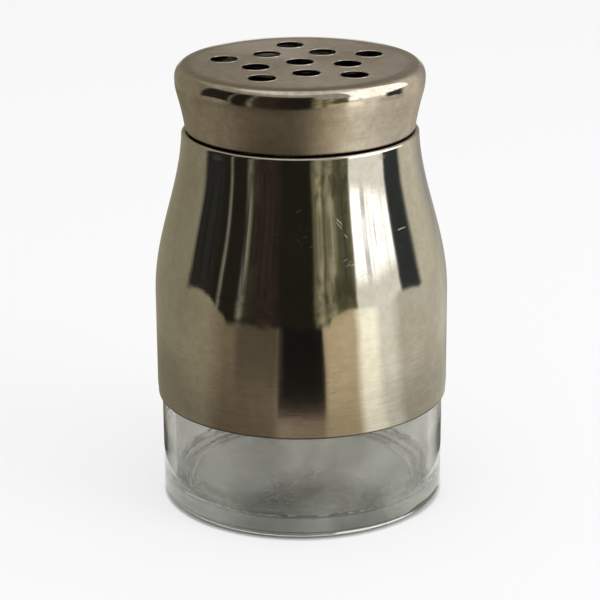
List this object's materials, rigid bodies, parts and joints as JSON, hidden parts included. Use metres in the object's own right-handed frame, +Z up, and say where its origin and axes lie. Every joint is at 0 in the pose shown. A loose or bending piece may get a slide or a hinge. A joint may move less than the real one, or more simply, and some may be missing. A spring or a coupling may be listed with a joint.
{
  "type": "glass spice shaker with screw cap",
  "caption": "Table spice shaker: clear glass jar with a bell-shaped steel sleeve bonded over it and a perforated steel cap that screws on.",
  "frame": {"origin": "centre of the jar's foot, on the surface it stands on", "axes": "+Z up along the jar's axis towards the cap, -Y towards the viewer of the picture"},
  "size_m": [0.0676, 0.0676, 0.103],
  "materials": {
    "clear_glass": "pressed clear glass, fire-polished, slightly rippled, with a stippled bearing ring",
    "sleeve_steel": "stainless, polished above and brushed round the axis below, light handling scratches",
    "cap_steel": "stainless, satin skirt brushed round the axis, polished roll and satin top",
    "bond_silicone": "cured clear-grey silicone",
    "seal_foam": "closed-cell liner, matt",
    "insert_plastic": "moulded polypropylene, fine matt"
  },
  "bodies": {
    "jar": {"glass_jar": "clear_glass", "steel_sleeve": "sleeve_steel", "sleeve_bond_ring": "bond_silicone"},
    "seal": {"rim_seal": "seal_foam"},
    "cap": {"cap_shell": "cap_steel", "cap_thread_insert": "insert_plastic"}
  },
  "joints": [
    {"name": "cap_rise", "type": "slide", "parent": "jar", "child": "seal", "axis": [0, 0, 1], "range_m": [0, 0.0149]},
    {"name": "cap_turn", "type": "hinge", "parent": "seal", "child": "cap", "pos_m": [0, 0, 0], "axis": [0, 0, 1], "range_deg": [0, 1260]}
  ],
  "couplings": [
    {"joint": "cap_rise", "follows": "cap_turn", "m_per_rad": 0.00067322}
  ]
}
